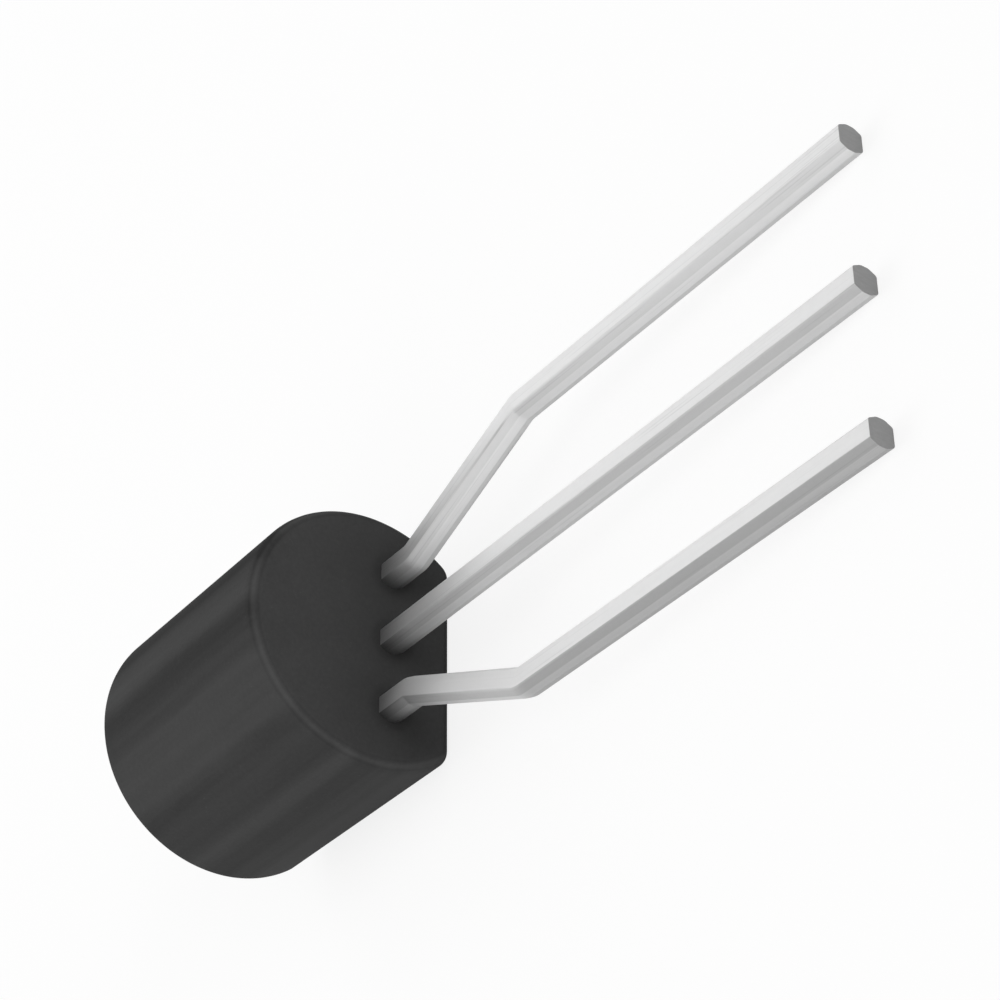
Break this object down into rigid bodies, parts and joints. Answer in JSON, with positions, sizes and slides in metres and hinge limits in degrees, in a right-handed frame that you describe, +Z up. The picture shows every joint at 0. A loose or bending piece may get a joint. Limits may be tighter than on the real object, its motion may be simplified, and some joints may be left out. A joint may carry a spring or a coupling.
{
  "type": "to-92 transistor",
  "caption": "Through-hole transistor in a D-shaped moulded body, its outer leads formed to a wider pitch, lying on its flat.",
  "frame": {"origin": "where the middle lead's axis leaves the seating face, which is the end face of the body that the leads come out of", "axes": "+X along the row of leads, from the emitter lead to the base lead; +Y towards the top of the body, level with the surface that the part lies on; +Z up. The part lies on the rim beside its flat and on the cut ends of its leads, so the leads and the flat are tipped 4.8 degrees from level, lead ends down."},
  "size_m": [0.0056, 0.0166, 0.0043],
  "materials": {
    "moulding_compound": "charcoal epoxy moulding compound, fine matt mould texture",
    "tinned_strip": "satin grey tin plating over stamped strip",
    "silicon": "sawn silicon with a metallised top",
    "silver_adhesive": "silver-filled conductive adhesive",
    "gold_wire": "bright gold wire"
  },
  "bodies": {
    "root": {"epoxy_body": "moulding_compound", "emitter_lead": "tinned_strip", "collector_lead": "tinned_strip", "base_lead": "tinned_strip", "silicon_die": "silicon", "die_attach": "silver_adhesive", "emitter_bond_wire": "gold_wire", "base_bond_wire": "gold_wire"}
  },
  "joints": []
}
